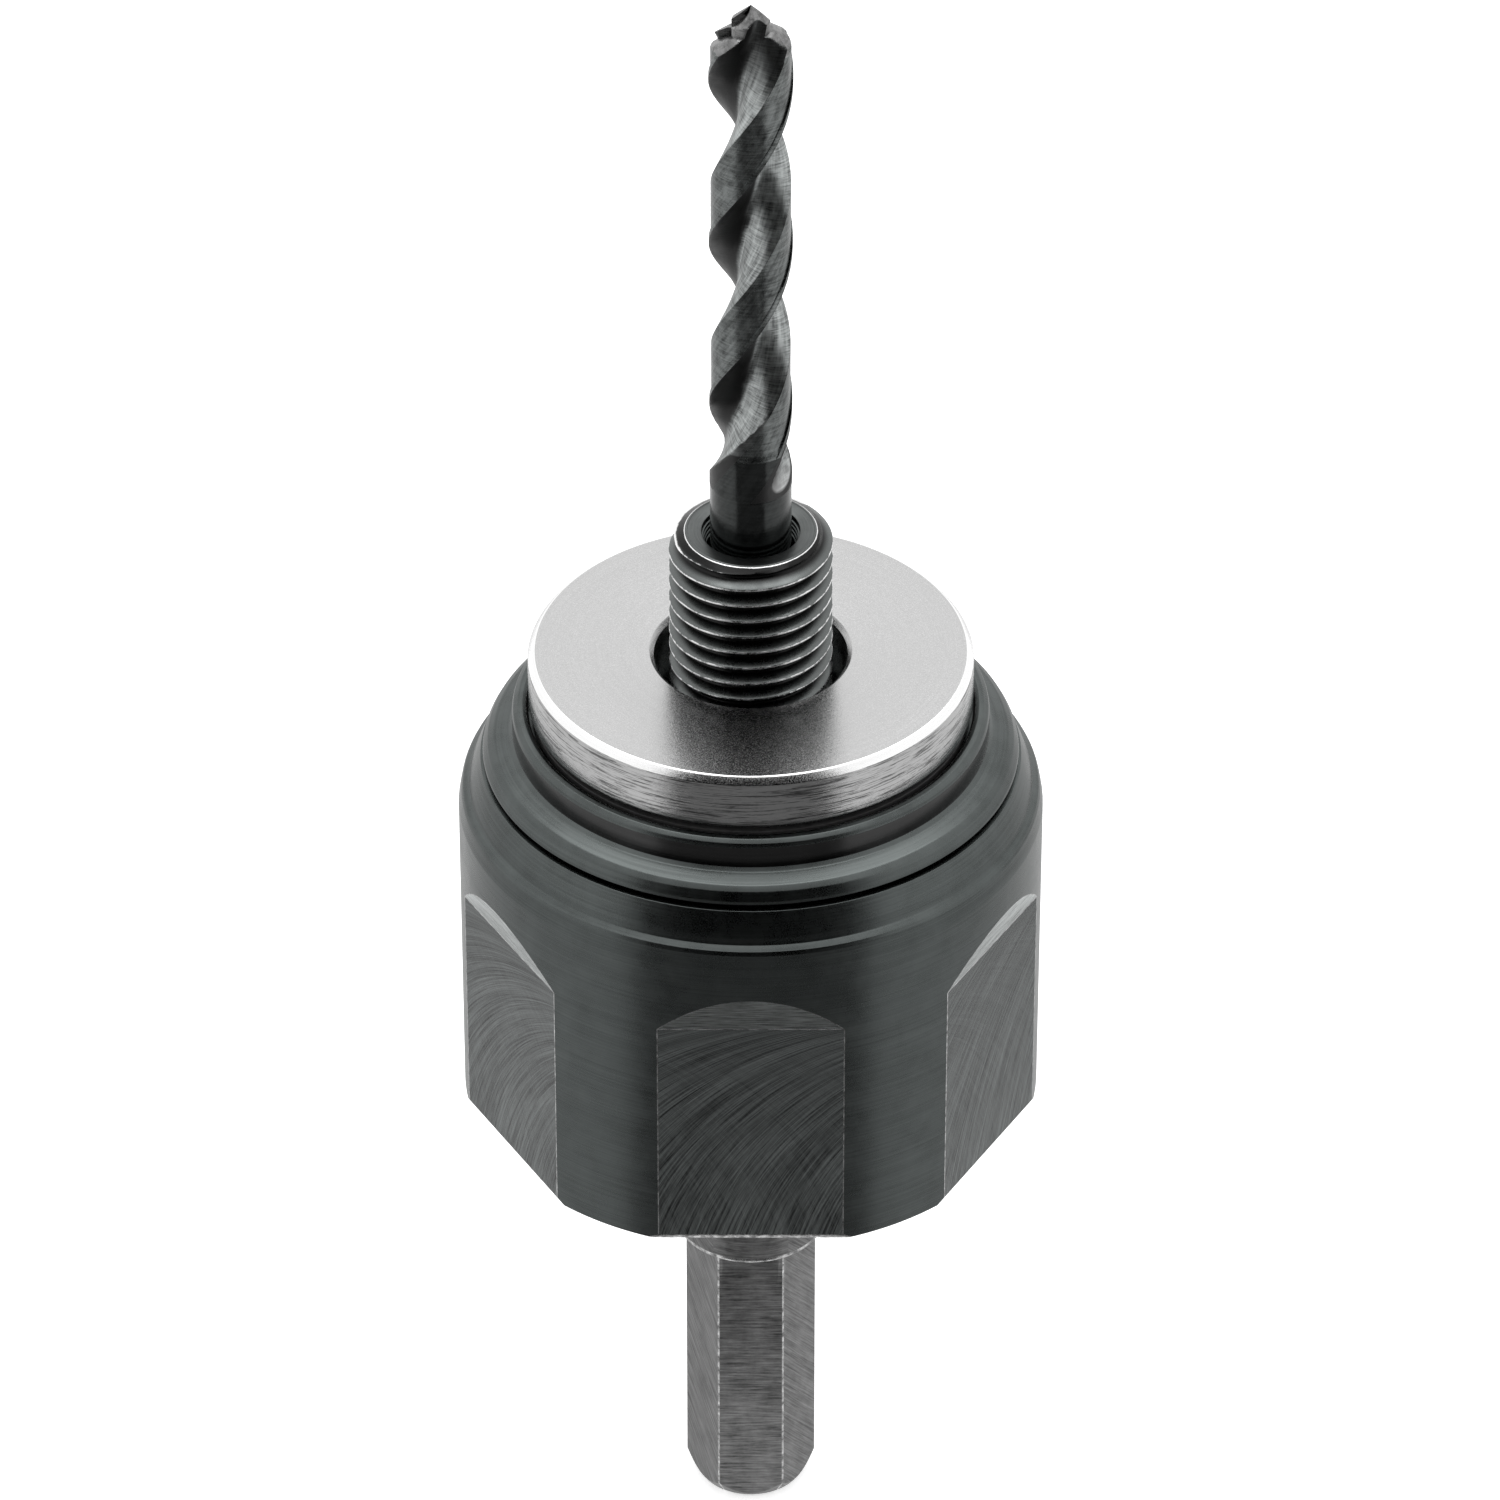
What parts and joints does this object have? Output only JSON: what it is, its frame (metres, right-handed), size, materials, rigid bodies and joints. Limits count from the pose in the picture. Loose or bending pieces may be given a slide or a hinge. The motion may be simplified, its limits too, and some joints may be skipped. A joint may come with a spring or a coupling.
{
  "type": "hole saw arbor",
  "caption": "Hole-saw arbor with hex drive shank, easy-release body with spanner flats, loose thrust disc, threaded nose and stepped pilot drill.",
  "frame": {"origin": "centre of the hex shank's flat end", "axes": "+Z along the tool's axis, from the shank to the pilot drill's point; -Y square to one shank flat and one spanner flat"},
  "size_m": [0.05, 0.05, 0.153],
  "materials": {
    "blackened_steel": "oil-blackened, fine milling and turning marks",
    "bright_steel": "fine turned, bright",
    "drill_steel": "steam-blued, polished",
    "bearing_steel": "ground and polished",
    "spring_steel": "dark satin",
    "brass": "turned",
    "rubber": "matt",
    "cage_nylon": "moulded"
  },
  "bodies": {
    "arbor": {"arbor_spindle": "blackened_steel", "hub_o_ring": "rubber", "stop_pin_1": "bearing_steel", "stop_pin_2": "bearing_steel"},
    "pilot": {"pilot_drill": "drill_steel"},
    "grub_pad": {"set_screw_pad": "brass"},
    "grub_screw": {"set_screw": "spring_steel"},
    "seat": {"thrust_disc": "bright_steel", "upper_race": "bearing_steel"},
    "cage": {"ball_cage": "cage_nylon", "thrust_ball_01": "bearing_steel", "thrust_ball_02": "bearing_steel", "thrust_ball_03": "bearing_steel", "thrust_ball_04": "bearing_steel", "thrust_ball_05": "bearing_steel", "thrust_ball_06": "bearing_steel", "thrust_ball_07": "bearing_steel", "thrust_ball_08": "bearing_steel", "thrust_ball_09": "bearing_steel", "thrust_ball_10": "bearing_steel", "thrust_ball_11": "bearing_steel", "thrust_ball_12": "bearing_steel"},
    "release": {"release_body": "blackened_steel", "top_ring": "blackened_steel", "lower_race": "bearing_steel", "bottom_cover": "bright_steel", "cover_snap_ring": "spring_steel", "dust_seal": "rubber", "neck_seal": "rubber"}
  },
  "joints": [
    {"name": "pilot_slide", "type": "slide", "parent": "arbor", "child": "pilot", "axis": [0, 0, 1], "range_m": [0, 0.03]},
    {"name": "grub_pad_slide", "type": "slide", "parent": "arbor", "child": "grub_pad", "axis": [0, 1, 0], "range_m": [0, 0.0015]},
    {"name": "grub_screw_turn", "type": "hinge", "parent": "grub_pad", "child": "grub_screw", "pos_m": [0, 0.0068, 0.061], "axis": [0, 1, 0], "range_deg": [0, 540]},
    {"name": "seat_slide", "type": "slide", "parent": "arbor", "child": "seat", "axis": [0, 0, 1], "range_m": [-0.00151, 0]},
    {"name": "release_turn", "type": "hinge", "parent": "seat", "child": "release", "pos_m": [0, 0, 0.06], "axis": [0, 0, 1], "range_deg": [-90, 0]},
    {"name": "cage_turn", "type": "hinge", "parent": "seat", "child": "cage", "pos_m": [0, 0, 0.0772], "axis": [0, 0, 1], "range_deg": [-45.1, 0]}
  ],
  "couplings": [
    {"joint": "grub_screw_turn", "follows": "grub_pad_slide", "rad_per_m": 6283.2},
    {"joint": "seat_slide", "follows": "release_turn", "m_per_rad": 0.00095493},
    {"joint": "cage_turn", "follows": "release_turn", "ratio": 0.5}
  ]
}
